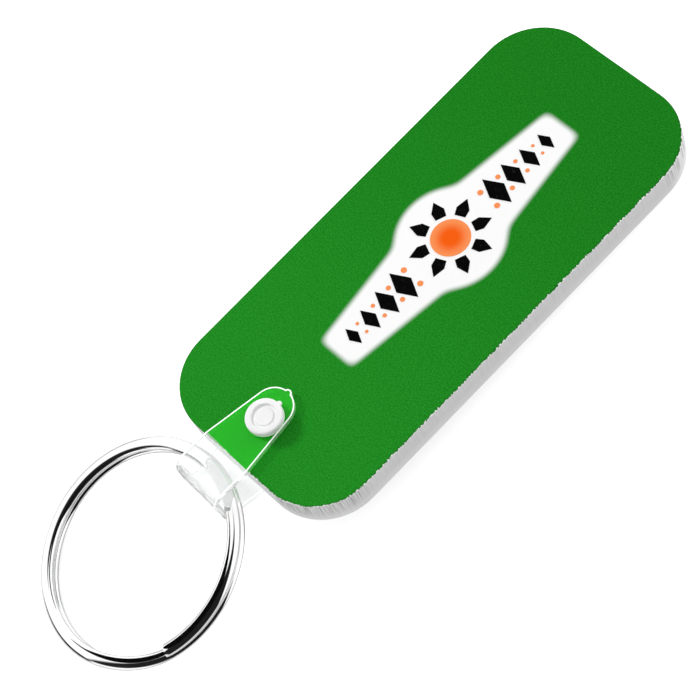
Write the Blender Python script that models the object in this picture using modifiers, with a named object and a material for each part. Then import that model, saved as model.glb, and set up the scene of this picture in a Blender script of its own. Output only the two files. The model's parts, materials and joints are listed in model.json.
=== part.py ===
"""Soft vinyl key tag with a clear snap strap and a split ring.

Metres, +Z up. +Y runs along the tag from its ring end to its far end, and +X runs across it.
The tag lies face up, leaning down to the bottom edge of its far end. The ring leans down out of the
strap's loop, rolled a little to one side, and the lowest point of its wire carries the ring end.
"""

import math

import bmesh
import bpy
from mathutils import Matrix, Vector

COLLECTION_NAME = "soft_vinyl_key_tag"

# Fit between pieces
SEAT_GAP = 0.0003

# Tag: a die-cut slab of soft vinyl with a printed face
TAG_LENGTH = 0.0794
TAG_WIDTH = 0.0349
TAG_THICKNESS = 0.0048
CORNER_RADIUS = 0.0095
TAG_EDGE_ROUND = 0.0002
SNAP_FROM_END = 0.0070

# Snap: a post on a flat head, pressed into a hub under a round cap
POST_RADIUS = 0.0008
BEAD_STEP = 0.0002
BEAD_LENGTH = 0.0008
HUB_WALL = 0.0006
SHOULDER_RISE = 0.0006
CAP_LIP = 0.0011
CAP_THICKNESS = 0.0010
CAP_RIM_WIDTH = 0.0010
CAP_RECESS_DEPTH = 0.00035
CAP_BOSS_RADIUS = 0.00145
CAP_BOSS_HEIGHT = 0.0002
HEAD_LIP = 0.0012
HEAD_THICKNESS = 0.0010
SNAP_EDGE_ROUND = 0.0003

# Strap: one moulded clear blank, folded round the ring and the tag's end
STRAP_THICKNESS = 0.0008
LOOP_WIDTH = 0.0090
LOOP_CORNER_RADIUS = 0.0016
TOP_LEG_WALL = 0.0012
TOP_LEG_TIP_SHIFT = 0.0018
LOWER_LEG_WALL = 0.0037
HOLE_SIDE_SHIFT = 0.0007
STRAP_REST_TURN = math.radians(-2.0)
GATE_NUB_RADIUS = 0.0004
GATE_NUB_INSET = 0.0002

# Split ring: one wire wound in two turns, with a step where it changes level
RING_OUTER_DIAMETER = 0.0340
WIRE_WIDTH = 0.0021
WIRE_HEIGHT = 0.00115
WIRE_ROUND = 0.0004
TURN_GAP = 0.0001
STEP_ANGLE = math.radians(46.0)
TOP_TURN_END_ANGLE = math.radians(-28.0)
RING_FROM_TAG = 0.0014
RING_FROM_LOOP_END = 0.0023
RING_SIDE_SHIFT = -0.0027
SWING_AXIS_SHIFT = 0.0005
RING_REST_LEAN = math.radians(14.5)
RING_REST_ROLL = math.radians(8.0)

# Fineness of the faceted shapes
CORNER_STEPS = 16
TURNED_STEPS = 48
FOLD_STEPS = 6
WIRE_STEP_ANGLE = math.radians(4.0)
WIRE_CORNER_STEPS = 3
ROUND_STEPS = 4

# Colours and finish of each piece
FACE_GREEN = (0.016, 0.216, 0.016)
VINYL_WHITE = (0.80, 0.80, 0.80)
CLEAR_PLASTIC = (0.95, 0.96, 0.96)
SNAP_WHITE = (0.88, 0.88, 0.88)
RING_NICKEL = (0.80, 0.80, 0.81)

# Sizes that follow from the ones above
bore_radius = POST_RADIUS + SEAT_GAP
hub_radius = bore_radius + HUB_WALL
snap_hole_radius = hub_radius + SEAT_GAP
bead_radius = POST_RADIUS + BEAD_STEP
cap_radius = hub_radius + CAP_LIP
head_radius = hub_radius + HEAD_LIP
ring_radius = (RING_OUTER_DIAMETER - WIRE_WIDTH) / 2
stack_height = 2 * WIRE_HEIGHT + TURN_GAP
loop_reach = RING_FROM_TAG + WIRE_WIDTH + RING_FROM_LOOP_END + STRAP_THICKNESS
fold_y = LOOP_CORNER_RADIUS - loop_reach

# Levels above the tag's underside
lower_leg_top = -SEAT_GAP
lower_leg_bottom = lower_leg_top - STRAP_THICKNESS
head_top = lower_leg_bottom - SEAT_GAP
head_bottom = head_top - HEAD_THICKNESS
top_leg_bottom = TAG_THICKNESS + SEAT_GAP
top_leg_top = top_leg_bottom + STRAP_THICKNESS
cap_bottom = top_leg_top + SEAT_GAP
cap_top = cap_bottom + CAP_THICKNESS
shoulder_top = SHOULDER_RISE
hub_bottom = shoulder_top + SEAT_GAP
bore_top = cap_bottom
post_top = bore_top - SEAT_GAP


def clear_scene():
    for obj in list(bpy.data.objects):
        bpy.data.objects.remove(obj, do_unlink=True)


def make_collection(name):
    collection = bpy.data.collections.new(name)
    bpy.context.scene.collection.children.link(collection)
    return collection


def make_material(name, colour, roughness, metallic=0.0, transmission=0.0):
    material = bpy.data.materials.new(name)
    material.use_nodes = True
    material.diffuse_color = (*colour, 1.0)
    shader = material.node_tree.nodes["Principled BSDF"]
    shader.inputs["Base Color"].default_value = (*colour, 1.0)
    shader.inputs["Roughness"].default_value = roughness
    shader.inputs["Metallic"].default_value = metallic
    shader.inputs["Transmission Weight"].default_value = transmission
    return material


def add_object(name, data, collection, parent=None):
    obj = bpy.data.objects.new(name, data)
    collection.objects.link(obj)
    obj.parent = parent
    return obj


def add_empty(name, parent=None, location=(0, 0, 0), rotation=(0, 0, 0)):
    empty = add_object(name, None, parts, parent)
    empty.empty_display_size = 0.005
    empty.location = location
    empty.rotation_euler = rotation
    return empty


def arc(centre, radius, start, end, steps):
    """Points along an arc about centre, from the start angle to the end angle."""
    angles = [start + (end - start) * i / steps for i in range(steps + 1)]
    return [(centre[0] + radius * math.cos(a), centre[1] + radius * math.sin(a)) for a in angles]


def flat_outline(name, points, half_thickness):
    """A closed outline as a filled 2D curve, extruded both ways."""
    curve = bpy.data.curves.new(name, "CURVE")
    curve.dimensions = "2D"
    curve.fill_mode = "BOTH"
    curve.extrude = half_thickness
    spline = curve.splines.new("POLY")
    spline.points.add(len(points) - 1)
    for point, (x, y) in zip(spline.points, points):
        point.co = (x, y, 0, 1)
    spline.use_cyclic_u = True
    return curve


def mesh_from_curve(name, curve):
    """The curve as a mesh, with its caps welded to its sides and its faces outward."""
    holder = bpy.data.objects.new(name, curve)
    bpy.context.scene.collection.objects.link(holder)
    evaluated = holder.evaluated_get(bpy.context.evaluated_depsgraph_get())
    mesh = bpy.data.meshes.new_from_object(evaluated)
    mesh.name = name
    bpy.data.objects.remove(holder, do_unlink=True)
    welded = bmesh.new()
    welded.from_mesh(mesh)
    bmesh.ops.remove_doubles(welded, verts=welded.verts, dist=0.000001)
    bmesh.ops.recalc_face_normals(welded, faces=welded.faces)
    welded.to_mesh(mesh)
    welded.free()
    return mesh


def add_boolean(obj, cutter, operation):
    boolean = obj.modifiers.new(cutter.name, "BOOLEAN")
    boolean.operation = operation
    boolean.solver = "EXACT"
    boolean.object = cutter
    return boolean


def add_cutter(name, radius, low, high, parent, location=(0, 0)):
    """An upright cylinder from the low level to the high one, used in a Boolean."""
    mesh = bpy.data.meshes.new(name)
    shape = bmesh.new()
    bmesh.ops.create_cone(
        shape, cap_ends=True, segments=TURNED_STEPS, radius1=radius, radius2=radius, depth=high - low
    )
    shape.to_mesh(mesh)
    shape.free()
    cutter = add_object(name, mesh, cutters, parent)
    cutter.location = (location[0], location[1], (low + high) / 2)
    cutter.hide_render = True
    cutter.display_type = "WIRE"
    return cutter


def add_turned(name, profile, material, parent):
    """A solid turned about the Z axis from a profile that runs down its outer side."""
    mesh = bpy.data.meshes.new(name)
    points = [(radius, 0, height) for radius, height in profile]
    mesh.from_pydata(points, [(i, i + 1) for i in range(len(points) - 1)], [])
    mesh.materials.append(material)
    obj = add_object(name, mesh, parts, parent)
    screw = obj.modifiers.new("turn", "SCREW")
    screw.steps = TURNED_STEPS
    screw.render_steps = TURNED_STEPS
    screw.use_merge_vertices = True
    screw.merge_threshold = 0.00001
    screw.use_smooth_shade = False
    return obj


def make_tag(parent):
    """The slab, with a hole for the snap and the printed colour on its face alone."""
    half_width = TAG_WIDTH / 2
    in_x = half_width - CORNER_RADIUS
    in_y = TAG_LENGTH - CORNER_RADIUS
    quarter = math.pi / 2
    outline = arc((in_x, CORNER_RADIUS), CORNER_RADIUS, -quarter, 0, CORNER_STEPS)
    outline += arc((in_x, in_y), CORNER_RADIUS, 0, quarter, CORNER_STEPS)
    outline += arc((-in_x, in_y), CORNER_RADIUS, quarter, 2 * quarter, CORNER_STEPS)
    outline += arc((-in_x, CORNER_RADIUS), CORNER_RADIUS, 2 * quarter, 3 * quarter, CORNER_STEPS)
    mesh = mesh_from_curve("tag", flat_outline("tag_outline", outline, TAG_THICKNESS / 2))
    mesh.materials.clear()
    mesh.materials.append(make_material("white_vinyl", VINYL_WHITE, 0.55))
    mesh.materials.append(make_material("green_face_print", FACE_GREEN, 0.5))
    for polygon in mesh.polygons:
        polygon.material_index = 1 if polygon.normal.z > 0.5 else 0
    tag = add_object("tag", mesh, parts, parent)
    tag.location = (0, 0, TAG_THICKNESS / 2)
    bevel = tag.modifiers.new("cut_edge", "BEVEL")
    bevel.width = TAG_EDGE_ROUND
    bevel.segments = 2
    bevel.limit_method = "ANGLE"
    bevel.angle_limit = math.radians(60)
    hole = add_cutter("tag_hole", snap_hole_radius, head_bottom, cap_top, parent, (0, SNAP_FROM_END))
    add_boolean(tag, hole, "DIFFERENCE")
    return tag


def side_points(half_width, shoulder, end_centre, end_radius):
    """The right side of a leg from its shoulder: a straight taper into a round end."""
    across = half_width
    along = shoulder - end_centre
    reach = math.hypot(across, along)
    touch = math.atan2(along, across) + math.acos(min(1.0, end_radius / reach))
    return [(half_width, shoulder)] + arc((0, end_centre), end_radius, touch, math.pi / 2, CORNER_STEPS)


def fold(distance):
    """Where a point of the blank goes, by its distance along the blank from the loop's end wall."""
    bend_radius = LOOP_CORNER_RADIUS - STRAP_THICKNESS / 2
    middle = (top_leg_top + lower_leg_bottom) / 2
    leg_height = (top_leg_top + top_leg_bottom) / 2 - middle
    flat_half = leg_height - bend_radius
    bend_length = bend_radius * math.pi / 2
    side = 1 if distance >= 0 else -1
    run = abs(distance)
    if run <= flat_half:
        return (STRAP_THICKNESS / 2 - loop_reach, middle + distance)
    turned = min(run - flat_half, bend_length) / bend_radius
    y = fold_y - bend_radius * math.cos(turned)
    z = middle + side * (flat_half + bend_radius * math.sin(turned))
    return (y + max(0, run - flat_half - bend_length), z)


def bend_distances():
    """Distances along the blank of every line that it folds on, and the leg's start beyond the bend."""
    bend_radius = LOOP_CORNER_RADIUS - STRAP_THICKNESS / 2
    flat_half = (top_leg_top - lower_leg_bottom - STRAP_THICKNESS) / 2 - bend_radius
    bend_length = bend_radius * math.pi / 2
    lines = [flat_half + bend_length * i / FOLD_STEPS for i in range(FOLD_STEPS + 1)]
    return lines, lines[-1]


def make_strap(parent):
    """The blank's flat outline, scored across at its folds, folded, thickened and holed for the snap."""
    lines, leg_start = bend_distances()
    snap = leg_start + SNAP_FROM_END - fold_y
    tag_end = leg_start - fold_y
    half_width = LOOP_WIDTH / 2
    tip_radius = snap_hole_radius + TOP_LEG_WALL
    lower_radius = snap_hole_radius + LOWER_LEG_WALL
    top_side = side_points(half_width, tag_end, snap + TOP_LEG_TIP_SHIFT, tip_radius)
    lower_side = [(x, -s) for x, s in side_points(half_width, leg_start, snap, lower_radius)]
    right_side = lower_side[::-1] + top_side
    left_side = [(-x, s) for x, s in right_side[::-1][1:-1]]
    blank = flat_outline("strap_blank", right_side + left_side, 0)
    mesh = mesh_from_curve("strap", blank)
    mesh.materials.clear()
    mesh.materials.append(make_material("clear_plastic", CLEAR_PLASTIC, 0.05, 0.0, 1.0))
    sheet = bmesh.new()
    sheet.from_mesh(mesh)
    for line in lines + [-line for line in lines]:
        geometry = sheet.verts[:] + sheet.edges[:] + sheet.faces[:]
        bmesh.ops.bisect_plane(
            sheet, geom=geometry, dist=0.0000001, plane_co=(0, line, 0), plane_no=(0, 1, 0)
        )
    for vert in sheet.verts:
        y, z = fold(vert.co.y)
        vert.co = (vert.co.x - HOLE_SIDE_SHIFT, y - SNAP_FROM_END, z)
    sheet.to_mesh(mesh)
    sheet.free()
    strap = add_object("strap", mesh, parts, parent)
    solidify = strap.modifiers.new("wall", "SOLIDIFY")
    solidify.thickness = STRAP_THICKNESS
    solidify.offset = 0
    solidify.use_even_offset = True
    tip_y = TOP_LEG_TIP_SHIFT + tip_radius
    nub_place = (-HOLE_SIDE_SHIFT, tip_y)
    nub_low = top_leg_bottom + GATE_NUB_INSET
    nub_high = top_leg_top - GATE_NUB_INSET
    nub = add_cutter("strap_gate_nub", GATE_NUB_RADIUS, nub_low, nub_high, parent, nub_place)
    add_boolean(strap, nub, "UNION")
    hole = add_cutter("strap_hole", snap_hole_radius, head_bottom, cap_top, parent)
    add_boolean(strap, hole, "DIFFERENCE")
    return strap


def make_cap(parent, material):
    """The cap: a raised rim round a shallow recess, over a hub that is bored for the post."""
    recess_radius = cap_radius - CAP_RIM_WIDTH
    recess_floor = cap_top - CAP_RECESS_DEPTH
    boss_top = recess_floor + CAP_BOSS_HEIGHT
    boss_radius = min(CAP_BOSS_RADIUS, recess_radius - SEAT_GAP)
    slope = CAP_RECESS_DEPTH / 3
    groove_radius = bead_radius + SEAT_GAP
    groove_top = post_top
    groove_bottom = groove_top - BEAD_LENGTH - 2 * SEAT_GAP
    quarter = math.pi / 2
    profile = [(0, boss_top), (boss_radius - slope, boss_top), (boss_radius, recess_floor)]
    profile += [(recess_radius, recess_floor), (recess_radius + slope, cap_top)]
    rim = (cap_radius - SNAP_EDGE_ROUND, cap_top - SNAP_EDGE_ROUND)
    profile += arc(rim, SNAP_EDGE_ROUND, quarter, 0, ROUND_STEPS)
    profile += [(cap_radius, cap_bottom), (hub_radius, cap_bottom), (hub_radius, hub_bottom)]
    profile += [(bore_radius, hub_bottom), (bore_radius, groove_bottom)]
    profile += [(groove_radius, groove_bottom + BEAD_STEP), (groove_radius, groove_top)]
    profile += [(bore_radius, bore_top), (0, bore_top)]
    cap = add_turned("snap_cap", profile, material, parent)
    nub_low = cap_bottom + GATE_NUB_INSET
    nub_high = cap_top - SNAP_EDGE_ROUND - GATE_NUB_INSET
    nub = add_cutter("cap_gate_nub", GATE_NUB_RADIUS, nub_low, nub_high, parent, (0, cap_radius))
    add_boolean(cap, nub, "UNION")
    return cap


def make_stud(parent, material):
    """The stud: a flat round head, a shoulder in the lower leg's hole, and a beaded post in the hub."""
    bead_top = post_top - SEAT_GAP
    bead_bottom = bead_top - BEAD_LENGTH
    quarter = math.pi / 2
    profile = [(0, post_top), (POST_RADIUS, post_top), (bead_radius, bead_top), (bead_radius, bead_bottom)]
    profile += [(POST_RADIUS, bead_bottom - BEAD_STEP), (POST_RADIUS, shoulder_top)]
    profile += [(hub_radius, shoulder_top), (hub_radius, head_top), (head_radius, head_top)]
    edge = (head_radius - SNAP_EDGE_ROUND, head_bottom + SNAP_EDGE_ROUND)
    profile += arc(edge, SNAP_EDGE_ROUND, 0, -quarter, ROUND_STEPS)
    profile += [(0, head_bottom)]
    return add_turned("snap_stud", profile, material, parent)


def wire_section():
    """The wire's section, a flat rectangle with round corners, as the ring's bevel guide."""
    in_x = WIRE_WIDTH / 2 - WIRE_ROUND
    in_y = WIRE_HEIGHT / 2 - WIRE_ROUND
    quarter = math.pi / 2
    corners = [(in_x, in_y), (-in_x, in_y), (-in_x, -in_y), (in_x, -in_y)]
    points = []
    for i, centre in enumerate(corners):
        points += arc(centre, WIRE_ROUND, i * quarter, (i + 1) * quarter, WIRE_CORNER_STEPS)
    curve = flat_outline("wire_section", points, 0)
    section = add_object("wire_section", curve, cutters)
    section.hide_render = True
    section.display_type = "WIRE"
    return section


def make_ring(parent, material):
    """One wire: the top turn, a step down to the lower level, and the lower turn under it."""
    level = (WIRE_HEIGHT + TURN_GAP) / 2
    total = 4 * math.pi - STEP_ANGLE
    step_start = 2 * math.pi - STEP_ANGLE
    count = math.ceil(total / WIRE_STEP_ANGLE)
    curve = bpy.data.curves.new("split_ring", "CURVE")
    curve.dimensions = "3D"
    curve.twist_mode = "Z_UP"
    curve.bevel_mode = "OBJECT"
    curve.bevel_object = wire_section()
    curve.use_fill_caps = True
    spline = curve.splines.new("POLY")
    spline.points.add(count)
    for i, point in enumerate(spline.points):
        along = total * i / count
        share = min(1.0, max(0.0, (along - step_start) / STEP_ANGLE))
        drop = share * share * (3 - 2 * share)
        angle = TOP_TURN_END_ANGLE + along
        x = ring_radius * math.cos(angle)
        y = ring_radius * math.sin(angle) - ring_radius
        point.co = (x, y, level * (1 - 2 * drop), 1)
    mesh = mesh_from_curve("split_ring", curve)
    mesh.materials.clear()
    mesh.materials.append(material)
    ring = add_object("split_ring", mesh, parts, parent)
    ring.location = wire_place()
    ring.rotation_euler = (0, -RING_REST_ROLL, 0)
    return ring


def ring_seat():
    """The swing axis, from the snap: just behind the near wire, as high as a level wire on the lower leg."""
    lift = stack_height / 2 * math.cos(RING_REST_LEAN) + WIRE_WIDTH / 2 * math.sin(RING_REST_LEAN)
    level = lower_leg_top + SEAT_GAP + lift
    behind = RING_FROM_TAG + WIRE_WIDTH / 2 + SWING_AXIS_SHIFT
    return Vector((RING_SIDE_SHIFT, -SNAP_FROM_END - behind, level))


def ring_rise():
    """How far the rolled wire's centre lies over the swing axis, so that its low side clears the leg too."""
    across = snap_hole_radius + LOWER_LEG_WALL + HOLE_SIDE_SHIFT + RING_SIDE_SHIFT
    sag = ring_radius - math.sqrt(ring_radius**2 - across**2)
    return abs(across * math.tan(RING_REST_ROLL)) + sag * math.sin(RING_REST_LEAN)


def wire_place():
    """The near wire's centre, from the swing axis."""
    return Vector((0, SWING_AXIS_SHIFT, ring_rise()))


def ring_clearance(tag_lean):
    """The height of the ring's lowest point over the surface that the tag's far edge lies on."""
    place = Matrix.Rotation(-tag_lean, 4, "X") @ Matrix.Translation((0, SNAP_FROM_END, 0))
    place = place @ Matrix.Rotation(STRAP_REST_TURN, 4, "Z") @ Matrix.Translation(ring_seat())
    place = place @ Matrix.Rotation(RING_REST_LEAN, 4, "X") @ Matrix.Translation(wire_place())
    place = place @ Matrix.Rotation(-RING_REST_ROLL, 4, "Y")
    centre = place @ Vector((0, -ring_radius, 0))
    upright = place.col[2][2]
    level = math.sqrt(1 - upright**2)
    drop = (RING_OUTER_DIAMETER / 2 - WIRE_ROUND) * level + (stack_height / 2 - WIRE_ROUND) * upright
    return centre.z - drop - WIRE_ROUND + (TAG_LENGTH - TAG_EDGE_ROUND) * math.sin(tag_lean)


def tag_rest_lean():
    """The tag's lean: on the stud's head, or more where the ring reaches lower, found by halving."""
    flat_head = head_radius - SNAP_EDGE_ROUND
    low = math.atan2(-head_bottom, TAG_LENGTH - TAG_EDGE_ROUND - SNAP_FROM_END - flat_head)
    high = math.radians(30)
    if ring_clearance(low) > 0:
        return low
    for _ in range(40):
        middle = (low + high) / 2
        if ring_clearance(middle) < 0:
            low = middle
        else:
            high = middle
    return high


def stand_on_origin(root, pieces):
    """Moves the whole so that its box stands centred on the origin."""
    bpy.context.view_layer.update()
    depsgraph = bpy.context.evaluated_depsgraph_get()
    corners = []
    for piece in pieces:
        evaluated = piece.evaluated_get(depsgraph)
        mesh = evaluated.to_mesh()
        corners += [piece.matrix_world @ vert.co for vert in mesh.vertices]
        evaluated.to_mesh_clear()
    low = Vector([min(corner[i] for corner in corners) for i in range(3)])
    high = Vector([max(corner[i] for corner in corners) for i in range(3)])
    root.location -= Vector(((low.x + high.x) / 2, (low.y + high.y) / 2, low.z))
    bpy.context.view_layer.update()


def smooth(piece):
    if piece.type == "MESH":
        piece.data.shade_smooth()
        piece.data.set_sharp_from_angle(angle=math.radians(35))


clear_scene()
parts = make_collection(COLLECTION_NAME)
cutters = make_collection("cutters")

rest = add_empty("rest", rotation=(-tag_rest_lean(), 0, 0))
swivel = add_empty("snap_axis", rest, (0, SNAP_FROM_END, 0), (0, 0, STRAP_REST_TURN))
hinge = add_empty("ring_axis", swivel, ring_seat(), (RING_REST_LEAN, 0, 0))

snap_white = make_material("white_plastic", SNAP_WHITE, 0.3)
nickel = make_material("nickel_plate", RING_NICKEL, 0.12, 1.0)
pieces = [make_tag(rest), make_strap(swivel), make_cap(swivel, snap_white), make_stud(swivel, snap_white)]
pieces.append(make_ring(hinge, nickel))
for piece in pieces:
    smooth(piece)
stand_on_origin(rest, pieces)
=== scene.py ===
"""The looks of the soft vinyl key tag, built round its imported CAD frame.

Three frames are found from the frame's joints. The tag frame has its origin at the middle of the ring
end on the underside, x across, y along and z up from the face. The strap frame has its origin at the
snap. The ring frame has its origin at the wire in the strap's loop.
"""

import json
import math

import bmesh
import bpy
from mathutils import Matrix, Vector


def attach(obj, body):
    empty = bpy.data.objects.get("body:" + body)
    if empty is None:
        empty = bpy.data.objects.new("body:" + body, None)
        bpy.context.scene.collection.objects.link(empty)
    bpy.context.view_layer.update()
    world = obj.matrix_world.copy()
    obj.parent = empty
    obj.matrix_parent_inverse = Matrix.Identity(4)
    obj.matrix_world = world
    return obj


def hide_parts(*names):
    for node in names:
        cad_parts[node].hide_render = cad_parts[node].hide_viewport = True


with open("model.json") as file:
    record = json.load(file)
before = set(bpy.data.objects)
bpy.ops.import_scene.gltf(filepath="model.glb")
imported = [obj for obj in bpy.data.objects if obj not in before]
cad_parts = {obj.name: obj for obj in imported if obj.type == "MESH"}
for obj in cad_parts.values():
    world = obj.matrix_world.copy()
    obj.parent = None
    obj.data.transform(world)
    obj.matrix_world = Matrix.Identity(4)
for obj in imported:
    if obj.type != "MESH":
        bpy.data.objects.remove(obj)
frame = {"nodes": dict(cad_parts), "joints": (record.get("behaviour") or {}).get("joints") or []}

MM = 0.001
FULL_TURN = 2 * math.pi

# Sizes that the CAD part has too
TAG_LENGTH = 79.4 * MM
TAG_WIDTH = 34.9 * MM
TAG_THICKNESS = 4.8 * MM
CORNER_RADIUS = 9.5 * MM
SNAP_FROM_END = 7.0 * MM
SEAT_GAP = 0.3 * MM
SNAP_HOLE_RADIUS = 2.0 * MM
STRAP_THICKNESS = 0.8 * MM
LOOP_WIDTH = 9.0 * MM
LOOP_REACH = 6.6 * MM
LOOP_CORNER_RADIUS = 1.6 * MM
TOP_LEG_WALL = 1.2 * MM
TOP_LEG_TIP_SHIFT = 1.8 * MM
LOWER_LEG_WALL = 3.7 * MM
HOLE_SIDE_SHIFT = 0.7 * MM
RING_OUTER_DIAMETER = 34.0 * MM
WIRE_WIDTH = 2.1 * MM
WIRE_HEIGHT = 1.15 * MM
TURN_GAP = 0.1 * MM
RING_SIDE_SHIFT = -2.7 * MM
SWING_AXIS_SHIFT = 0.5 * MM
RING_LEAN = math.radians(14.5)
RING_ROLL = math.radians(8)

# Strap's gate nub, which is wider and flatter than the solid's
GATE_NUB_RADIUS = 0.55 * MM
GATE_NUB_FLATNESS = 0.62

# Where the wire's upper end is seen, and how far round it steps down to the lower turn
TOP_TURN_END_ANGLE = math.radians(-24.5)
STEP_ANGLE = math.radians(49.5)

# How full the wire's section is, and how its cut ends are rounded
WIRE_FULLNESS = 2.05
WIRE_END_ROUND = 0.15 * MM
WIRE_END_STEP = 0.3

# Printed design, in the tag frame
PRINT_MIDDLE = 44.0 * MM
PRINT_RISE = 0.04 * MM
MEDALLION_RADIUS = 3.0 * MM
RAY_COUNT = 8
RAY_START = 3.7 * MM
RAY_LENGTH = 2.8 * MM
RAY_HALF_ANGLE = math.radians(13)
RAY_SHOULDER = 0.45
RAY_SHOULDER_TAPER = 0.9
ROW_START = 9.6 * MM
ROW_STEP = 3.4 * MM
ROW_COUNT = 4
ROW_SHRINK = 0.14
DIAMOND_HALF_LENGTH = 1.5 * MM
DIAMOND_HALF_WIDTH = 3.0 * MM
DOT_RADIUS = 0.45 * MM
DOT_SIDE = 1.7 * MM

# Pale field under the print: a round middle, a tapering arm each way, and an edge that fades out
HALO_MARGIN = 1.1 * MM
HALO_ARM_WIDTH = 5.6 * MM
HALO_ARM_TAPER = 0.13
HALO_ARM_MARGIN = 1.4 * MM
HALO_TIP_BLEND = 2.0 * MM
HALO_NECK_BLEND = 1.5 * MM
HALO_EDGE = 1.15 * MM

# Grain of the vinyl's face, and how far its print reaches round the edge
PEBBLE_SCALE = 4600.0
PEBBLE_SHADE = 0.31
PEBBLE_LIGHT = 0.0108
WRAP_FAR_LEFT = 0.86 * MM
WRAP_NEAR_RIGHT = 0.56 * MM
WRAP_SLOPE = 0.7
RAGGED_SCALE = 3400.0
RAGGED_REACH = 0.85 * MM
WANDER_SCALE = 420.0
WANDER_REACH = 0.34 * MM
PRINT_EDGE_BLUR = 0.02 * MM
# Painted shade along the face's border, where its edge rolls down
ROLLED_EDGE_PAINTED_SHADE_START = -0.34 * MM
ROLLED_EDGE_PAINTED_SHADE_FULL = -0.05 * MM
ROLLED_EDGE_PAINTED_SHADE = 0.30

# Cut streaks and torn flecks on the vinyl's sides
CUT_STRETCH = (5200, 5200, 130)
CUT_SHADE = 0.9
CUT_ON_STRAIGHT_SIDES = 0.18
CUT_CORNER_REACH = 0.8 * MM
CUT_AT_FOOT = 0.25
GROOVE_DEPTH = 0.12 * MM
GROOVE_START = 0.05 * MM
FLECK_SCALE = 4200.0
FLECK_START = 0.35 * MM
FLECK_FULL = 0.15 * MM

# Strap's clear plastic: how much light goes through, how it bends, and where the painted green glow of the
# face under it starts
CLEAR_THROUGH = 0.78
CLEAR_IOR = 1.24
CLEAR_SHADOW_THROUGH = 0.85
PAINTED_GLOW_MARGIN = 0.05 * MM

# Frosted line along the strap's edges, with a painted glow that makes it bright
RIM_BEVEL = 0.08 * MM
RIM_BEVEL_STEPS = 3
RIM_STRIP = 0.19 * MM
RIM_THROUGH = 0.2
RIM_PAINTED_GLOW = 0.44

# Angles between faces past which an edge is sharp
TAG_SHARP = math.radians(20)
SNAP_SHARP = math.radians(28)
STRAP_SHARP = math.radians(32)
WIRE_SHARP = math.radians(50)

# Rubbed streaks of the shared wear
RUB_STRETCH = (900, 160, 900)
RUB_PATCH_SCALE = 220.0
RUB_DEPTH = 0.3

# Colours
GREEN_NEAR = (0.0106, 0.297, 0.0120)
GREEN_FAR = (0.0054, 0.232, 0.0058)
VINYL_WHITE = (0.88, 0.88, 0.88)
VINYL_SHADE = (0.50, 0.50, 0.51)
# White of torn flecks, which is also the painted bounce light that makes the cut side paler toward its
# underside
VINYL_FLECK_AND_PAINTED_BOUNCE = (0.98, 0.98, 0.98)
HALO_WHITE = (0.97, 0.97, 0.97)
INK_BLACK = (0.001, 0.001, 0.0012)
INK_ORANGE = (0.93, 0.115, 0.004)
INK_PALE_ORANGE = (0.97, 0.36, 0.13)
SNAP_WHITE = (0.93, 0.93, 0.935)
SNAP_DULL = 0.96
CLEAR_WHITE = (0.96, 0.97, 0.97)
CLEAR_CLOUD = (0.85, 0.86, 0.86)
# Painted glow: the strap over the face is coloured green in place of the face's light seen through it
CLEAR_PAINTED_GLOW_GREEN = (0.052, 0.87, 0.052)
RIM_WHITE = (0.95, 0.96, 0.96)
RIM_DULL = (0.86, 0.87, 0.87)
NICKEL = (0.93, 0.93, 0.935)
NICKEL_TARNISH = (0.74, 0.73, 0.72)
FLOOR_WHITE = (0.80, 0.80, 0.80)
CARD_BLACK = (0.004, 0.004, 0.004)
BLACK = (0, 0, 0)
WHITE = (1, 1, 1)

# Fineness of the scene's own meshes
OUTLINE_STEPS = 40
NUB_STEPS = 10
HOLE_STEPS = 64
DISC_STEPS = 48
FOLD_STEPS = 16
WIRE_STEPS_A_TURN = 240
WIRE_SECTION_STEPS = 40
WELD_DISTANCE = 0.001 * MM
CUT_DISTANCE = 0.0001 * MM

# Camera, in the tag frame
CAMERA_SPOT = Vector((170.23, -30.70, 314.89)) * MM
CAMERA_AIM = Vector((1.15, 22.34, 4.8)) * MM
CAMERA_ROLL = math.radians(30.2)
CAMERA_LENS = 130.9
SENSOR_WIDTH = 36
CAMERA_CLIP_START = 10 * MM

# Studio: floor, light all round and lamps
FLOOR_SIZE = 6000 * MM
FLOOR_GLOW = 0.66
ROOM_LIGHT = 0.59
KEY_LAMP_SPOT = Vector((-0.42, -0.10, 0.38))
KEY_LAMP_SIZE = 0.16
KEY_LAMP_WATTS = 1.76
FAR_LAMP_SPOT = Vector((0.04, 0.50, 0.06))
FAR_LAMP_SIZE = 0.10
FAR_LAMP_WATTS = 1.05

# The room that glossy pieces mirror
MIRRORED_LIGHT = 1.15
MIRRORED_DARK = (0.012, 0.012, 0.012)

# Its dark places: how dark, and the sides that bound it, each with where the dark starts and is full
overhead_stripe = [
    (Vector((1, 0, 0)), -0.55, -0.42),
    (Vector((0, -1, 0)), -0.10, -0.03),
    (Vector((0, 1, 0)), -0.92, -0.80),
    (Vector((0, 0, 1)), 0.0, 0.12),
]
left_strip = [(Vector((-1, 0, -0.1)).normalized(), 0.93, 0.98)]
near_strip = [(Vector((-0.6, -0.78, 0.05)).normalized(), 0.93, 0.965)]
DARK_PLACES = [(1.0, overhead_stripe), (0.7, left_strip), (1.0, near_strip)]

# The black card that the ring's near side mirrors
CARD_ANGLE = math.radians(2)
CARD_DISTANCE = 30 * MM
CARD_WIDTH = 20 * MM
CARD_HEIGHT = 26 * MM


def place(origin, x_axis, z_axis):
    """The frame with this origin, x direction and z direction."""
    turn = Matrix((x_axis, z_axis.cross(x_axis), z_axis)).transposed().to_4x4()
    return Matrix.Translation(origin) @ turn


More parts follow.
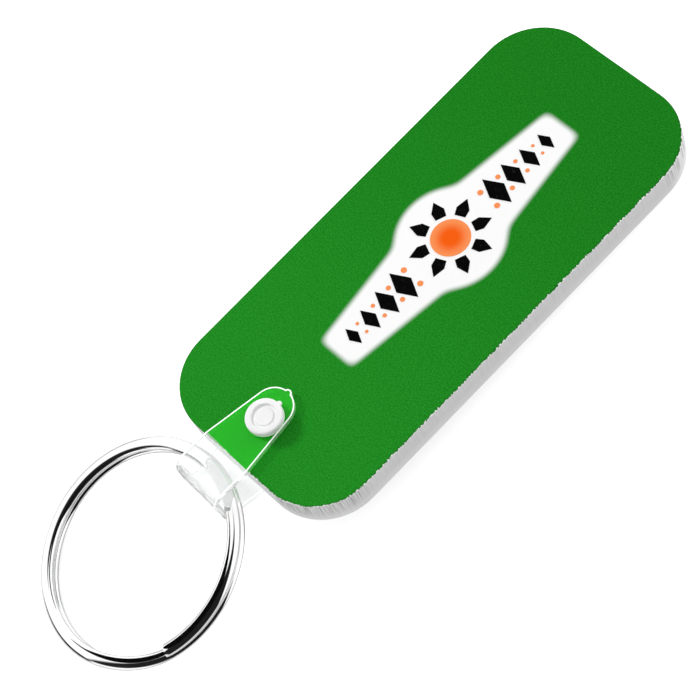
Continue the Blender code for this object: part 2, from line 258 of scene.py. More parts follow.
def ring_rise():
    """How far the rolled wire's centre lies over the swing axis."""
    across = SNAP_HOLE_RADIUS + LOWER_LEG_WALL + HOLE_SIDE_SHIFT + RING_SIDE_SHIFT
    sag = ring_radius - math.sqrt(ring_radius**2 - across**2)
    return abs(across * math.tan(RING_ROLL)) + sag * math.sin(RING_LEAN)


joints = {joint["name"]: joint for joint in frame["joints"]}
face_up = Vector(joints["strap_swivel"]["axis"]).normalized()
snap_spot = Vector(joints["strap_swivel"]["pos_m"])
ring_spot = Vector(joints["ring_swing"]["pos_m"])
strap_across = -Vector(joints["ring_swing"]["axis"]).normalized()
ring_radius = (RING_OUTER_DIAMETER - WIRE_WIDTH) / 2
tag_place = place(snap_spot, Vector((1, 0, 0)), face_up) @ Matrix.Translation((0, -SNAP_FROM_END, 0))
strap_place = place(snap_spot, strap_across, face_up)
hinge_place = place(ring_spot, strap_across, face_up) @ Matrix.Rotation(RING_LEAN, 4, "X")
wire_place = hinge_place @ Matrix.Translation((0, SWING_AXIS_SHIFT, ring_rise()))
ring_place = wire_place @ Matrix.Rotation(-RING_ROLL, 4, "Y")


def put(tree, node, name, value):
    """Links a socket to an input, or sets the input to a plain value."""
    if isinstance(value, bpy.types.NodeSocket):
        tree.links.new(value, node.inputs[name])
    else:
        node.inputs[name].default_value = value


def add_node(tree, kind, inputs, **settings):
    node = tree.nodes.new(kind)
    for name, value in settings.items():
        setattr(node, name, value)
    for name, value in inputs.items():
        put(tree, node, name, value)
    return node


def calc(tree, operation, *values):
    """A Math node's result."""
    node = add_node(tree, "ShaderNodeMath", dict(enumerate(values)), operation=operation)
    return node.outputs[0]


def plus(tree, first, second):
    return calc(tree, "ADD", first, second)


def minus(tree, first, second):
    return calc(tree, "SUBTRACT", first, second)


def times(tree, first, second):
    return calc(tree, "MULTIPLY", first, second)


def hypotenuse(tree, first, second):
    squares = plus(tree, calc(tree, "POWER", first, 2.0), calc(tree, "POWER", second, 2.0))
    return calc(tree, "SQRT", squares)


def remap(tree, value, low, high, to_low, to_high):
    """The value's span from low to high, spread from to_low to to_high with soft ends."""
    spans = {"Value": value, "From Min": low, "From Max": high, "To Min": to_low, "To Max": to_high}
    node = add_node(tree, "ShaderNodeMapRange", spans, interpolation_type="SMOOTHSTEP")
    return node.outputs["Result"]


def mix_colours(tree, share, first, second):
    """The first colour where the share is 0 and the second where it is 1."""
    node = add_node(tree, "ShaderNodeMix", {0: share}, data_type="RGBA")
    for index, colour in ((6, first), (7, second)):
        put(tree, node, index, colour if isinstance(colour, bpy.types.NodeSocket) else (*colour, 1))
    return node.outputs[2]


def noise(tree, vector, scale, detail=3.0):
    inputs = {"Vector": vector, "Scale": scale, "Detail": detail}
    return add_node(tree, "ShaderNodeTexNoise", inputs).outputs[0]


def patches(tree, vector, scale, low, high, share, detail=3.0):
    """Noise that is 0 up to the low level and reaches the share at the high one."""
    return remap(tree, noise(tree, vector, scale, detail), low, high, 0, share)


def stretched(tree, vector, scale):
    """The coordinates scaled by a different amount along each axis."""
    return add_node(tree, "ShaderNodeMapping", {"Vector": vector, "Scale": scale}).outputs[0]


def coordinates_in(tree, matrix):
    """A piece's coordinates in the frame given. The piece's own frame is the row's."""
    own = tree.nodes.new("ShaderNodeTexCoord").outputs["Object"]
    inputs = {"Vector": own, "Location": matrix.translation, "Rotation": matrix.to_euler()}
    return add_node(tree, "ShaderNodeMapping", inputs, vector_type="TEXTURE").outputs[0]


def split(tree, vector):
    return add_node(tree, "ShaderNodeSeparateXYZ", {"Vector": vector}).outputs


def seen_plainly(tree):
    """1 for rays that come from the camera, straight or through a clear piece, and 0 for the rest."""
    path = tree.nodes.new("ShaderNodeLightPath")
    return calc(tree, "MAXIMUM", path.outputs["Is Camera Ray"], path.outputs["Is Transmission Ray"])


def make_group(name, inputs, outputs):
    """An empty node group with named sockets, and its two end nodes."""
    group = bpy.data.node_groups.new(name, "ShaderNodeTree")
    for label, kind in inputs:
        group.interface.new_socket(label, in_out="INPUT", socket_type=kind)
    for label, kind in outputs:
        group.interface.new_socket(label, in_out="OUTPUT", socket_type=kind)
    return group, group.nodes.new("NodeGroupInput"), group.nodes.new("NodeGroupOutput")


def make_handling_group():
    """Fine grain and sparse rubbed streaks, shared by every moulded, printed and plated finish."""
    inputs = [("Vector", "NodeSocketVector"), ("Grain Scale", "NodeSocketFloat")]
    inputs += [("Smooth", "NodeSocketFloat"), ("Rubbed", "NodeSocketFloat")]
    outputs = [("Roughness", "NodeSocketFloat"), ("Height", "NodeSocketFloat")]
    group, start, end = make_group("handling_wear", inputs, outputs)
    vector = start.outputs["Vector"]
    grain = noise(group, vector, start.outputs["Grain Scale"], detail=4.0)
    streaks = patches(group, stretched(group, vector, RUB_STRETCH), 1.0, 0.52, 0.68, 1, detail=5.0)
    rubbed = times(group, streaks, noise(group, vector, RUB_PATCH_SCALE, detail=2.0))
    shift = times(group, rubbed, start.outputs["Rubbed"])
    put(group, end, "Roughness", plus(group, start.outputs["Smooth"], shift))
    put(group, end, "Height", minus(group, grain, times(group, rubbed, RUB_DEPTH)))
    return group


handling_group = make_handling_group()


def start_material(name, colour, roughness, metallic=0.0, specular=0.5):
    material = bpy.data.materials.new(name)
    material.use_nodes = True
    tree = material.node_tree
    shader = tree.nodes["Principled BSDF"]
    shader.inputs["Base Color"].default_value = (*colour, 1)
    shader.inputs["Roughness"].default_value = roughness
    shader.inputs["Metallic"].default_value = metallic
    shader.inputs["Specular IOR Level"].default_value = specular
    return material, tree, shader


def add_bump(tree, shader, height, strength, depth, below=None):
    """A bump on the shader, on top of the bump below it where there is one."""
    inputs = {"Height": height, "Strength": strength, "Distance": depth}
    bump = add_node(tree, "ShaderNodeBump", inputs)
    if below is not None:
        put(tree, bump, "Normal", below.outputs[0])
    put(tree, shader, "Normal", bump.outputs[0])
    return bump


def add_handling(tree, shader, vector, grain_scale, smooth, rubbed, bump, depth):
    """Roughness and bump from the shared wear."""
    inputs = {"Vector": vector, "Grain Scale": grain_scale, "Smooth": smooth, "Rubbed": rubbed}
    wear = add_node(tree, "ShaderNodeGroup", inputs, node_tree=handling_group)
    put(tree, shader, "Roughness", wear.outputs["Roughness"])
    return add_bump(tree, shader, wear.outputs["Height"], bump, depth)


def tag_edge_distance(tree, x, y):
    """The distance out from the tag's outline, negative inside it, and how far into a corner it is."""
    along = minus(tree, y, TAG_LENGTH / 2)
    past_x = minus(tree, calc(tree, "ABSOLUTE", x), TAG_WIDTH / 2 - CORNER_RADIUS)
    past_y = minus(tree, calc(tree, "ABSOLUTE", along), TAG_LENGTH / 2 - CORNER_RADIUS)
    out_x = calc(tree, "MAXIMUM", past_x, 0.0)
    out_y = calc(tree, "MAXIMUM", past_y, 0.0)
    inner = calc(tree, "MINIMUM", calc(tree, "MAXIMUM", past_x, past_y), 0.0)
    distance = minus(tree, plus(tree, hypotenuse(tree, out_x, out_y), inner), CORNER_RADIUS)
    return distance, calc(tree, "MINIMUM", out_x, out_y)


def halo_distance(tree, x, y):
    """The distance out from the print's pale field: a round middle with a tapering arm each way."""
    along = calc(tree, "ABSOLUTE", minus(tree, y, PRINT_MIDDLE))
    middle = minus(tree, hypotenuse(tree, x, along), RAY_START + RAY_LENGTH + HALO_MARGIN)
    arm_width = minus(tree, HALO_ARM_WIDTH, times(tree, along, HALO_ARM_TAPER))
    arm_end = ROW_START + (ROW_COUNT - 1) * ROW_STEP + DIAMOND_HALF_LENGTH + HALO_ARM_MARGIN
    past_side = minus(tree, calc(tree, "ABSOLUTE", x), arm_width)
    arm = calc(tree, "SMOOTH_MAX", past_side, minus(tree, along, arm_end), HALO_TIP_BLEND)
    return calc(tree, "SMOOTH_MIN", middle, arm, HALO_NECK_BLEND)


def print_border(tree, vector, x, y, z, edge):
    """The distance out from the green print's ragged border, which wraps further down far and left."""
    ragged = times(tree, noise(tree, vector, RAGGED_SCALE), RAGGED_REACH)
    wander = plus(tree, ragged, times(tree, noise(tree, vector, WANDER_SCALE, detail=2.0), WANDER_REACH))
    past_edge = plus(tree, edge, times(tree, minus(tree, TAG_THICKNESS, z), WRAP_SLOPE))
    side = calc(tree, "DIVIDE", x, TAG_WIDTH / 2)
    end = minus(tree, calc(tree, "DIVIDE", y, TAG_LENGTH), 0.5)
    wrapped = remap(tree, minus(tree, side, end), -0.1, 0.4, WRAP_FAR_LEFT, WRAP_NEAR_RIGHT)
    return plus(tree, past_edge, minus(tree, wander, wrapped))


def vinyl_face(tree, vector, x, y, border):
    """The face's colour: pebbled green, lighter at the ring end, painted shade where its edge rolls down,
    and the print's pale field.
    """
    green = mix_colours(tree, remap(tree, y, 0.0, TAG_LENGTH, 0, 1), GREEN_NEAR, GREEN_FAR)
    dark = mix_colours(tree, PEBBLE_SHADE, green, BLACK)
    bright = mix_colours(tree, PEBBLE_LIGHT, green, WHITE)
    pebbles = patches(tree, vector, PEBBLE_SCALE, 0.30, 0.70, 1, detail=2.0)
    green = mix_colours(tree, pebbles, dark, bright)
    # Painted shade: the green darkens near its border, standing in for the shade where the edge rolls down
    painted_edge_shade = remap(tree, border, ROLLED_EDGE_PAINTED_SHADE_START, ROLLED_EDGE_PAINTED_SHADE_FULL, 0, ROLLED_EDGE_PAINTED_SHADE)
    green = mix_colours(tree, painted_edge_shade, green, BLACK)
    halo = remap(tree, halo_distance(tree, x, y), 0.0, HALO_EDGE, 1, 0)
    return mix_colours(tree, halo, green, HALO_WHITE)


def vinyl_wall(tree, vector, z, border, streaks, in_corner):
    """The cut side's colour: white with darker streaks, painted bounce light that makes it paler toward the
    underside, and paler where the print is torn.
    """
    fading = remap(tree, z, TAG_THICKNESS * 0.1, TAG_THICKNESS * 0.8, CUT_AT_FOOT, 1.0)
    cut = times(tree, remap(tree, streaks, 0.45, 0.60, 0, CUT_SHADE), times(tree, in_corner, fading))
    wall = mix_colours(tree, cut, VINYL_WHITE, VINYL_SHADE)
    # Painted light: the lower part of the side is paler, standing in for light bounced up from the floor
    painted_bounce_light = remap(tree, z, 0.0, TAG_THICKNESS * 0.45, 1.0, 0)
    wall = mix_colours(tree, painted_bounce_light, wall, VINYL_FLECK_AND_PAINTED_BOUNCE)
    flecks = patches(tree, vector, FLECK_SCALE, 0.42, 0.52, 1, detail=2.0)
    torn = times(tree, flecks, remap(tree, border, FLECK_FULL, FLECK_START, 1, 0))
    return mix_colours(tree, torn, wall, VINYL_FLECK_AND_PAINTED_BOUNCE)


def make_vinyl():
    """White die-cut vinyl: a grained green print on its face alone, cut streaks down its sides."""
    material, tree, shader = start_material("green_printed_vinyl", GREEN_NEAR, 0.5, specular=0.04)
    vector = coordinates_in(tree, tag_place)
    x, y, z = split(tree, vector)
    edge, corner = tag_edge_distance(tree, x, y)
    border = print_border(tree, vector, x, y, z, edge)
    streaks = noise(tree, stretched(tree, vector, CUT_STRETCH), 1.0)
    in_corner = remap(tree, corner, 0.0, CUT_CORNER_REACH, CUT_ON_STRAIGHT_SIDES, 1.0)
    printed = remap(tree, border, -PRINT_EDGE_BLUR, PRINT_EDGE_BLUR, 1, 0)
    face = vinyl_face(tree, vector, x, y, border)
    wall = vinyl_wall(tree, vector, z, border, streaks, in_corner)
    put(tree, shader, "Base Color", mix_colours(tree, printed, wall, face))
    grain = add_handling(
        tree, shader, vector, grain_scale=2400.0, smooth=0.52, rubbed=0.10, bump=0.25, depth=0.03 * MM
    )
    on_wall = calc(tree, "LESS_THAN", z, TAG_THICKNESS - GROOVE_START)
    grooves = times(tree, times(tree, streaks, in_corner), on_wall)
    add_bump(tree, shader, grooves, 0.6, GROOVE_DEPTH, below=grain)
    return material


def make_ink(name, colour, rim_colour):
    """Printed ink with fine speckle, which turns to the second colour toward the medallion's rim."""
    material, tree, shader = start_material(name, colour, 0.45, specular=0.02)
    vector = coordinates_in(tree, tag_place)
    x, y, _ = split(tree, vector)
    radius = hypotenuse(tree, x, minus(tree, y, PRINT_MIDDLE))
    toward_rim = remap(tree, radius, MEDALLION_RADIUS * 0.3, MEDALLION_RADIUS, 0, 0.75)
    ink = mix_colours(tree, toward_rim, colour, rim_colour)
    speckle = patches(tree, vector, 3200.0, 0.60, 0.80, 0.02)
    put(tree, shader, "Base Color", mix_colours(tree, speckle, ink, HALO_WHITE))
    add_handling(
        tree, shader, vector, grain_scale=2400.0, smooth=0.42, rubbed=0.12, bump=0.15, depth=0.02 * MM
    )
    return material


def make_snap_white():
    """Satin white moulding, a little duller in patches."""
    material, tree, shader = start_material("satin_white_snap", SNAP_WHITE, 0.3)
    vector = coordinates_in(tree, strap_place)
    dull = patches(tree, vector, 500.0, 0.35, 0.75, 1)
    dull_white = [c * SNAP_DULL for c in SNAP_WHITE]
    put(tree, shader, "Base Color", mix_colours(tree, dull, SNAP_WHITE, dull_white))
    add_handling(
        tree, shader, vector, grain_scale=1800.0, smooth=0.28, rubbed=0.15, bump=0.10, depth=0.02 * MM
    )
    return material


def make_clear():
    """Clear soft plastic. The level sides of its top leg over the face are painted green, a painted glow
    standing in for the face's light caught in them.
    """
    material, tree, shader = start_material("clear_strap_plastic", CLEAR_WHITE, 0.05)
    shader.inputs["Transmission Weight"].default_value = CLEAR_THROUGH
    shader.inputs["IOR"].default_value = CLEAR_IOR
    vector = coordinates_in(tree, strap_place)
    _, y, z = split(tree, vector)
    over_face = calc(tree, "GREATER_THAN", y, PAINTED_GLOW_MARGIN - SNAP_FROM_END)
    on_top = calc(tree, "GREATER_THAN", z, TAG_THICKNESS)
    facing = tree.nodes.new("ShaderNodeNewGeometry").outputs["Normal"]
    level = calc(tree, "GREATER_THAN", calc(tree, "ABSOLUTE", split(tree, facing)[2]), 0.5)
    painted_glow = times(tree, times(tree, over_face, on_top), level)
    cloudy = patches(tree, vector, 300.0, 0.3, 0.8, 0.06)
    clear = mix_colours(tree, cloudy, CLEAR_WHITE, CLEAR_CLOUD)
    # Painted glow: green colour over the face in place of the light the strap catches from it
    put(tree, shader, "Base Color", mix_colours(tree, painted_glow, clear, CLEAR_PAINTED_GLOW_GREEN))
    path = tree.nodes.new("ShaderNodeLightPath")
    through = times(tree, path.outputs["Is Shadow Ray"], CLEAR_SHADOW_THROUGH)
    put(tree, shader, "Alpha", minus(tree, 1.0, through))
    add_handling(
        tree, shader, vector, grain_scale=600.0, smooth=0.04, rubbed=0.10, bump=0.05, depth=0.02 * MM
    )
    return material


def make_rim():
    """The strap's soft edges, frosted, and made bright by a painted glow."""
    material, tree, shader = start_material("frosted_strap_rim_painted_glow", RIM_WHITE, 0.45)
    shader.inputs["Transmission Weight"].default_value = RIM_THROUGH
    # Painted glow: the edges give off light of their own, though they are no lamp
    shader.inputs["Emission Color"].default_value = (RIM_PAINTED_GLOW, RIM_PAINTED_GLOW, RIM_PAINTED_GLOW, 1)
    shader.inputs["Emission Strength"].default_value = 1.0
    vector = coordinates_in(tree, strap_place)
    dull = patches(tree, vector, 900.0, 0.3, 0.8, 0.4)
    put(tree, shader, "Base Color", mix_colours(tree, dull, RIM_WHITE, RIM_DULL))
    add_handling(
        tree, shader, vector, grain_scale=2600.0, smooth=0.40, rubbed=0.15, bump=0.2, depth=0.02 * MM
    )
    return material


def make_nickel():
    """Bright plate with fine draw marks that follow the wire round."""
    material, tree, shader = start_material("bright_nickel_plate", NICKEL, 0.08, metallic=1.0)
    vector = coordinates_in(tree, ring_place)
    x, y, z = split(tree, vector)
    from_middle = plus(tree, y, ring_radius)
    radius = hypotenuse(tree, x, from_middle)
    turn = times(tree, calc(tree, "ARCTAN2", from_middle, x), ring_radius * 0.04)
    wound = add_node(tree, "ShaderNodeCombineXYZ", {0: radius, 1: turn, 2: z}).outputs[0]
    tarnish = patches(tree, vector, 160.0, 0.45, 0.8, 0.5)
    put(tree, shader, "Base Color", mix_colours(tree, tarnish, NICKEL, NICKEL_TARNISH))
    grain = add_handling(
        tree, shader, wound, grain_scale=2400.0, smooth=0.05, rubbed=0.16, bump=0.04, depth=0.01 * MM
    )
    marks = noise(tree, wound, 6000.0, detail=4.0)
    add_bump(tree, shader, marks, 0.10, 0.01 * MM, below=grain)
    return material


def new_object(name, data):
    """An object in the scene."""
    obj = bpy.data.objects.new(name, data)
    bpy.context.scene.collection.objects.link(obj)
    return obj


def finished_mesh(obj):
    """The object's mesh with its modifiers applied, and the object removed."""
    evaluated = obj.evaluated_get(bpy.context.evaluated_depsgraph_get())
    mesh = bpy.data.meshes.new_from_object(evaluated)
    bpy.data.objects.remove(obj, do_unlink=True)
    return mesh


def add_mesh(name, mesh, matrix, body):
    """A piece that is drawn in the frame given and rides on a body."""
    mesh.transform(matrix)
    obj = new_object(name, mesh)
    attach(obj, body)
    return obj


def soften_node(name, material, angle):
    """A CAD node welded for smooth shading between its sharp edges, in a new finish."""
    node = frame["nodes"][name]
    node.data.attributes.remove(node.data.attributes["custom_normal"])
    node.data.attributes.remove(node.data.attributes["sharp_edge"])
    node.data.shade_smooth()
    weld = node.modifiers.new("weld", "WELD")
    weld.merge_threshold = WELD_DISTANCE
    sharp = node.modifiers.new("sharp_edges", "EDGE_SPLIT")
    sharp.split_angle = angle
    for slot in node.material_slots:
        slot.material = material


def arc(centre, radius, start, end, steps):
    angles = [start + (end - start) * i / steps for i in range(steps + 1)]
    return [(centre[0] + radius * math.cos(a), centre[1] + radius * math.sin(a)) for a in angles]


def circle(centre, radius, steps):
    return arc(centre, radius, 0, FULL_TURN, steps)[:-1]


def filled_outlines(name, outlines):
    """A flat mesh filled between closed outlines, where an outline inside another is a hole."""
    curve = bpy.data.curves.new(name, "CURVE")
    curve.dimensions = "2D"
    curve.fill_mode = "BOTH"
    for points in outlines:
        spline = curve.splines.new("POLY")
        spline.points.add(len(points) - 1)
        for point, (x, y) in zip(spline.points, points):
            point.co = (x, y, 0, 1)
        spline.use_cyclic_u = True
    return finished_mesh(new_object(name, curve))


def side_points(shoulder, end_centre, end_radius):
    """The right side of a strap leg from its shoulder: a straight taper into a round end."""
    across = LOOP_WIDTH / 2
    along = shoulder - end_centre
    reach = math.hypot(across, along)
    touch = math.atan2(along, across) + math.acos(min(1.0, end_radius / reach))
    return [(across, shoulder)] + arc((0, end_centre), end_radius, touch, math.pi / 2, OUTLINE_STEPS)


# Distances along the strap's flat blank from the loop's end wall, and where its bends and snap come
middle_level = TAG_THICKNESS / 2
bend_radius = LOOP_CORNER_RADIUS - STRAP_THICKNESS / 2
wall_half = TAG_THICKNESS / 2 + SEAT_GAP + STRAP_THICKNESS / 2 - bend_radius
bend_length = bend_radius * math.pi / 2
leg_start = wall_half + bend_length
fold_y = LOOP_CORNER_RADIUS - LOOP_REACH
snap_run = leg_start + SNAP_FROM_END - fold_y


def fold(distance):
    """Where a point of the blank goes, by its distance along the blank from the loop's end wall."""
    side = 1 if distance >= 0 else -1
    run = abs(distance)
    if run <= wall_half:
        return STRAP_THICKNESS / 2 - LOOP_REACH, middle_level + distance
    turned = min(run - wall_half, bend_length) / bend_radius
    y = fold_y - bend_radius * math.cos(turned)
    z = middle_level + side * (wall_half + bend_radius * math.sin(turned))
    return y + max(0, run - wall_half - bend_length), z


def strap_outline():
    """The blank's outline, with a gate nub at the top leg's tip."""
    tip_radius = SNAP_HOLE_RADIUS + TOP_LEG_WALL
    top_side = side_points(leg_start - fold_y, snap_run + TOP_LEG_TIP_SHIFT, tip_radius)
    lower_side = [(x, -y) for x, y in side_points(leg_start, snap_run, SNAP_HOLE_RADIUS + LOWER_LEG_WALL)]
    right_side = lower_side[::-1] + top_side
    tip = (0, right_side[-1][1])
    right_side = [p for p in right_side if p[1] < 0 or math.dist(p, tip) > GATE_NUB_RADIUS]
    round_nub = arc(tip, GATE_NUB_RADIUS, 0, math.pi, NUB_STEPS)
    nub = [(x, tip[1] + (y - tip[1]) * GATE_NUB_FLATNESS) for x, y in round_nub]
    left_side = [(-x, y) for x, y in right_side[::-1][:-1]]
    return right_side + nub + left_side


def folded_strap():
    """The blank with its two holes and a strip for the rim along each edge, cut across and folded."""
    holes = [circle((HOLE_SIDE_SHIFT, run), SNAP_HOLE_RADIUS, HOLE_STEPS) for run in (snap_run, -snap_run)]
    mesh = filled_outlines("strap_clear", [strap_outline()] + holes)
    sheet = bmesh.new()
    sheet.from_mesh(mesh)
    bmesh.ops.remove_doubles(sheet, verts=sheet.verts, dist=WELD_DISTANCE)
    strip = bmesh.ops.inset_region(
        sheet, faces=sheet.faces, use_boundary=True, use_even_offset=True, thickness=RIM_STRIP
    )
    for face in strip["faces"]:
        face.material_index = 1
    lines = [wall_half + bend_length * i / FOLD_STEPS for i in range(FOLD_STEPS + 1)]
    for line in lines + [-line for line in lines]:
        geometry = sheet.verts[:] + sheet.edges[:] + sheet.faces[:]
        bmesh.ops.bisect_plane(
            sheet, geom=geometry, dist=CUT_DISTANCE, plane_co=(0, line, 0), plane_no=(0, 1, 0)
        )
    for vert in sheet.verts:
        y, z = fold(vert.co.y)
        vert.co = (vert.co.x - HOLE_SIDE_SHIFT, y - SNAP_FROM_END, z)
    bmesh.ops.recalc_face_normals(sheet, faces=sheet.faces)
    sheet.to_mesh(mesh)
    sheet.free()
    return mesh


def make_strap():
    """The folded blank, thickened, with a frosted line along its edges. Its upright walls stay clear."""
    mesh = folded_strap()
    mesh.materials.append(clear_plastic)
    mesh.materials.append(strap_rim)
    holder = new_object("strap_clear", mesh)
    solidify = holder.modifiers.new("wall", "SOLIDIFY")
    solidify.thickness = STRAP_THICKNESS
    solidify.offset = 0
    solidify.use_even_offset = True
    solidify.material_offset_rim = 1
    bevel = holder.modifiers.new("soft_rim", "BEVEL")
    bevel.width = RIM_BEVEL
    bevel.segments = RIM_BEVEL_STEPS
    bevel.limit_method = "ANGLE"
    bevel.angle_limit = math.radians(50)
    bevel.material = 1
    mesh = finished_mesh(holder)
    for polygon in mesh.polygons:
        under_top_leg = polygon.normal.z < -0.5 and polygon.center.z > TAG_THICKNESS
        upright_wall = abs(polygon.normal.z) < 0.2 and polygon.area > STRAP_THICKNESS * RIM_BEVEL
        if under_top_leg or upright_wall:
            polygon.material_index = 0
    mesh.shade_smooth()
    mesh.set_sharp_from_angle(angle=STRAP_SHARP)
    strap = add_mesh("strap_clear", mesh, strap_place, "strap")
    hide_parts("strap")


def wire_section(shrink):
    """A squashed round section, fuller than an ellipse, so that bands of reflection follow the wire."""
    points = []
    for i in range(WIRE_SECTION_STEPS):
        angle = FULL_TURN * i / WIRE_SECTION_STEPS
        c, s = math.cos(angle), math.sin(angle)
        x = math.copysign(abs(c) ** (2 / WIRE_FULLNESS), c) * (WIRE_WIDTH / 2 - shrink)
        z = math.copysign(abs(s) ** (2 / WIRE_FULLNESS), s) * (WIRE_HEIGHT / 2 - shrink)
        points.append((x, z))
    return points


def wire_stations():
    """Angles along the wire from its upper end, each with how much thinner its rounded end is there."""
    total = 2 * FULL_TURN - STEP_ANGLE
    count = math.ceil(total / FULL_TURN * WIRE_STEPS_A_TURN)
    rounded = WIRE_END_ROUND / ring_radius * WIRE_END_STEP
    thinner = WIRE_END_ROUND * WIRE_END_STEP
    stations = [(0.0, WIRE_END_ROUND), (rounded, thinner)]
    stations += [(total * i / count, 0.0) for i in range(1, count)]
    return stations + [(total - rounded, thinner), (total, WIRE_END_ROUND)]


def make_ring():
    """One wire: the top turn, a step down to the lower level, and the lower turn under it."""
    level = (WIRE_HEIGHT + TURN_GAP) / 2
    step_start = FULL_TURN - STEP_ANGLE
    shape = bmesh.new()
    loops = []
    for along, shrink in wire_stations():
        share = min(1.0, max(0.0, (along - step_start) / STEP_ANGLE))
        drop = share * share * (3 - 2 * share)
        angle = TOP_TURN_END_ANGLE + along
        height = level * (1 - 2 * drop)
        loop = []
        for x, z in wire_section(shrink):
            reach = ring_radius + x
            spot = (reach * math.cos(angle), reach * math.sin(angle) - ring_radius, height + z)
            loop.append(shape.verts.new(spot))
        loops.append(loop)
    for first, second in zip(loops, loops[1:]):
        for i in range(WIRE_SECTION_STEPS):
            j = (i + 1) % WIRE_SECTION_STEPS
            shape.faces.new((first[i], first[j], second[j], second[i]))
    shape.faces.new(loops[0])
    shape.faces.new(loops[-1])
    bmesh.ops.recalc_face_normals(shape, faces=shape.faces)
    mesh = bpy.data.meshes.new("split_ring_plated")
    shape.to_mesh(mesh)
    shape.free()
    mesh.shade_smooth()
    mesh.set_sharp_from_angle(angle=WIRE_SHARP)
    mesh.materials.append(nickel_plate)
    ring = add_mesh("split_ring_plated", mesh, ring_place, "ring")
    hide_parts("split_ring")


def make_print(name, shapes, material):
    """Flat printed shapes, each a closed outline in the tag frame, raised a little from the face."""
    mesh = bpy.data.meshes.new(name)
    ink = bmesh.new()
    for outline in shapes:
        low = [ink.verts.new((x, y, TAG_THICKNESS - PRINT_RISE / 2)) for x, y in outline]
        high = [ink.verts.new((x, y, TAG_THICKNESS + PRINT_RISE)) for x, y in outline]
        ink.faces.new(high)
        ink.faces.new(low[::-1])
        for i in range(len(outline)):
            j = (i + 1) % len(outline)
            ink.faces.new((low[i], low[j], high[j], high[i]))
    bmesh.ops.recalc_face_normals(ink, faces=ink.faces)
    ink.to_mesh(mesh)
    ink.free()
    mesh.materials.append(material)
    add_mesh(name, mesh, tag_place, "tag")


def ray(angle):
    """A wedge that points outward from the medallion, with a pointed tip."""
    half = RAY_HALF_ANGLE
    shoulder = RAY_START + RAY_LENGTH * RAY_SHOULDER
    shoulder_half = half * RAY_SHOULDER_TAPER
    polar = [(RAY_START, angle - half), (shoulder, angle - shoulder_half), (RAY_START + RAY_LENGTH, angle)]
    polar += [(shoulder, angle + shoulder_half), (RAY_START, angle + half)]
    return [(r * math.cos(a), PRINT_MIDDLE + r * math.sin(a)) for r, a in polar]


def diamond(y, half_width, half_length):
    return [(half_width, y), (0, y + half_length), (-half_width, y), (0, y - half_length)]


def make_artwork():
    """A round medallion with rays, and a row of shrinking diamonds and dots each way from it."""
    black = [ray(FULL_TURN * (i + 0.5) / RAY_COUNT) for i in range(RAY_COUNT)]
    orange = [circle((0, PRINT_MIDDLE), MEDALLION_RADIUS, DISC_STEPS)]
    for way in (1, -1):
        for i in range(ROW_COUNT):
            size = 1 - ROW_SHRINK * i
            y = PRINT_MIDDLE + way * (ROW_START + ROW_STEP * i)
            black.append(diamond(y, DIAMOND_HALF_WIDTH * size, DIAMOND_HALF_LENGTH * size))
            for side in (1, -1):
                dot = (side * DOT_SIDE * size, y - way * ROW_STEP / 2)
                orange.append(circle(dot, DOT_RADIUS * size, DISC_STEPS))
    make_print("print_black", black, ink_black)
    make_print("print_orange", orange, ink_orange)


def sheet_mesh(name, width, height):
    """A flat sheet round its own middle."""
    wide, high = width / 2, height / 2
    mesh = bpy.data.meshes.new(name)
    corners = [(-wide, -high, 0), (wide, -high, 0), (wide, high, 0), (-wide, high, 0)]
    mesh.from_pydata(corners, [], [(0, 1, 2, 3)])
    return mesh


def make_floor():
    """A pale floor that reads as white in plain view and keeps a soft shadow."""
    floor = new_object("floor", sheet_mesh("floor", FLOOR_SIZE, FLOOR_SIZE))
    material, tree, shader = start_material("pale_floor", FLOOR_WHITE, 0.8, specular=0.0)
    shader.inputs["Emission Color"].default_value = (FLOOR_GLOW, FLOOR_GLOW, FLOOR_GLOW, 1)
    put(tree, shader, "Emission Strength", seen_plainly(tree))
    floor.data.materials.append(material)


def make_world():
    """Soft white light all round. Glossy pieces mirror a white room with three dark places in it."""
    world = bpy.data.worlds.new("studio")
    bpy.context.scene.world = world
    world.use_nodes = True
    tree = world.node_tree
    light = tree.nodes["Background"]
    light.inputs["Color"].default_value = (*WHITE, 1)
    light.inputs["Strength"].default_value = ROOM_LIGHT
    direction = tree.nodes.new("ShaderNodeTexCoord").outputs["Generated"]
    room = 1.0
    for depth, sides in DARK_PLACES:
        shade = depth
        for toward, start, full in sides:
            dot = add_node(tree, "ShaderNodeVectorMath", {0: direction, 1: toward}, operation="DOT_PRODUCT")
            shade = times(tree, remap(tree, dot.outputs["Value"], start, full, 0, 1), shade)
        room = times(tree, minus(tree, 1.0, shade), room)
    mirrored = add_node(tree, "ShaderNodeBackground", {"Strength": MIRRORED_LIGHT})
    put(tree, mirrored, "Color", mix_colours(tree, room, MIRRORED_DARK, WHITE))
    white = add_node(tree, "ShaderNodeBackground", {"Color": (*WHITE, 1), "Strength": 1.0})
    path = tree.nodes.new("ShaderNodeLightPath")
    shares = (path.outputs["Is Glossy Ray"], seen_plainly(tree))
    surface = light.outputs[0]
    for share, other in zip(shares, (mirrored, white)):
        inputs = {0: share, 1: surface, 2: other.outputs[0]}
        surface = add_node(tree, "ShaderNodeMixShader", inputs).outputs[0]
    put(tree, tree.nodes["World Output"], "Surface", surface)


def aim_matrix(spot, target, up, roll=0.0):
    """A place for a camera or lamp that looks down its own minus z at the target."""
    forward = (target - spot).normalized()
    level_up = (up - forward * up.dot(forward)).normalized()
    level_right = forward.cross(level_up)
    top = level_up * math.cos(roll) + level_right * math.sin(roll)
    turn = Matrix((forward.cross(top), top, -forward)).transposed().to_4x4()
    return Matrix.Translation(spot) @ turn


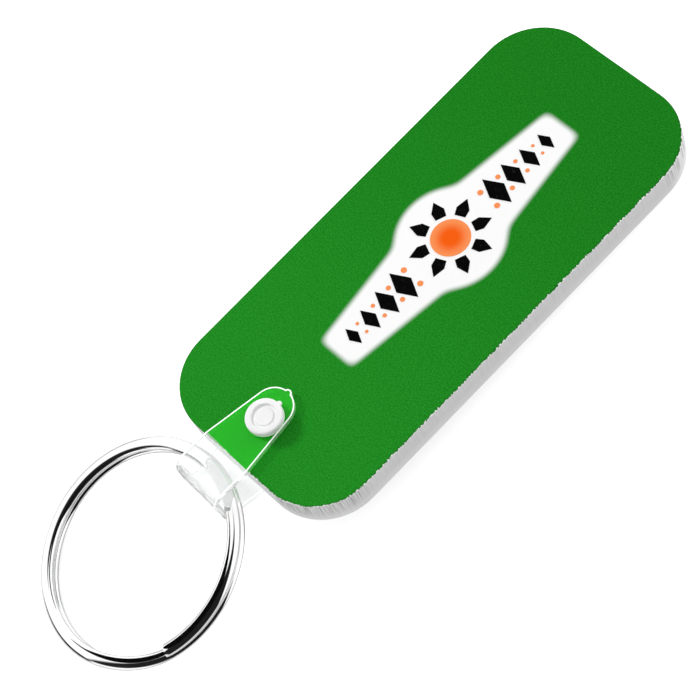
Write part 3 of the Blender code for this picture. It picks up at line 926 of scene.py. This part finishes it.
def make_lamp(name, spot, size, watts):
    """A round soft lamp turned to the tag's middle, unseen in reflections and through clear pieces."""
    data = bpy.data.lights.new(name, "AREA")
    data.shape = "DISK"
    data.size = size
    data.energy = watts
    lamp = new_object(name, data)
    tag_middle = tag_place @ Vector((0, TAG_LENGTH / 2, 0))
    lamp.matrix_world = aim_matrix(spot, tag_middle, Vector((0, 1, 0)))
    lamp.visible_glossy = False
    lamp.visible_transmission = False


def make_dark_card():
    """A black card close by, seen in reflections alone: it darkens the near side of the ring."""
    outward = Vector((math.cos(CARD_ANGLE), math.sin(CARD_ANGLE), 0))
    side = ring_place @ (outward * ring_radius + Vector((0, -ring_radius, WIRE_HEIGHT)))
    upward = ring_place.col[2].to_3d()
    sight = (tag_place @ CAMERA_SPOT - side).normalized()
    mirrored = upward * 2 * sight.dot(upward) - sight
    spot = side + mirrored * CARD_DISTANCE
    tangent = ring_place.to_3x3() @ Vector((-outward.y, outward.x, 0))
    material, _, _ = start_material("black_card", CARD_BLACK, 0.9, specular=0.0)
    card = new_object("dark_card", sheet_mesh("dark_card", CARD_WIDTH, CARD_HEIGHT))
    card.data.materials.append(material)
    card.matrix_world = aim_matrix(spot, side, mirrored.cross(tangent).normalized())
    card.visible_camera = False
    card.visible_diffuse = False
    card.visible_shadow = False
    card.visible_transmission = False


def make_camera():
    data = bpy.data.cameras.new("camera")
    data.lens = CAMERA_LENS
    data.sensor_width = SENSOR_WIDTH
    data.clip_start = CAMERA_CLIP_START
    camera = new_object("camera", data)
    camera.matrix_world = aim_matrix(tag_place @ CAMERA_SPOT, tag_place @ CAMERA_AIM, face_up, CAMERA_ROLL)
    bpy.context.scene.camera = camera


printed_vinyl = make_vinyl()
clear_plastic = make_clear()
strap_rim = make_rim()
snap_white = make_snap_white()
nickel_plate = make_nickel()
ink_black = make_ink("black_ink", INK_BLACK, INK_BLACK)
ink_orange = make_ink("orange_ink", INK_ORANGE, INK_PALE_ORANGE)

soften_node("tag", printed_vinyl, TAG_SHARP)
soften_node("snap_cap", snap_white, SNAP_SHARP)
soften_node("snap_stud", snap_white, SNAP_SHARP)
make_strap()
make_ring()
make_artwork()

make_floor()
make_world()
make_dark_card()
make_lamp("key", KEY_LAMP_SPOT, KEY_LAMP_SIZE, KEY_LAMP_WATTS)
make_lamp("far_end_fill", FAR_LAMP_SPOT, FAR_LAMP_SIZE, FAR_LAMP_WATTS)
make_camera()
bpy.context.scene.view_settings.view_transform = "Standard"
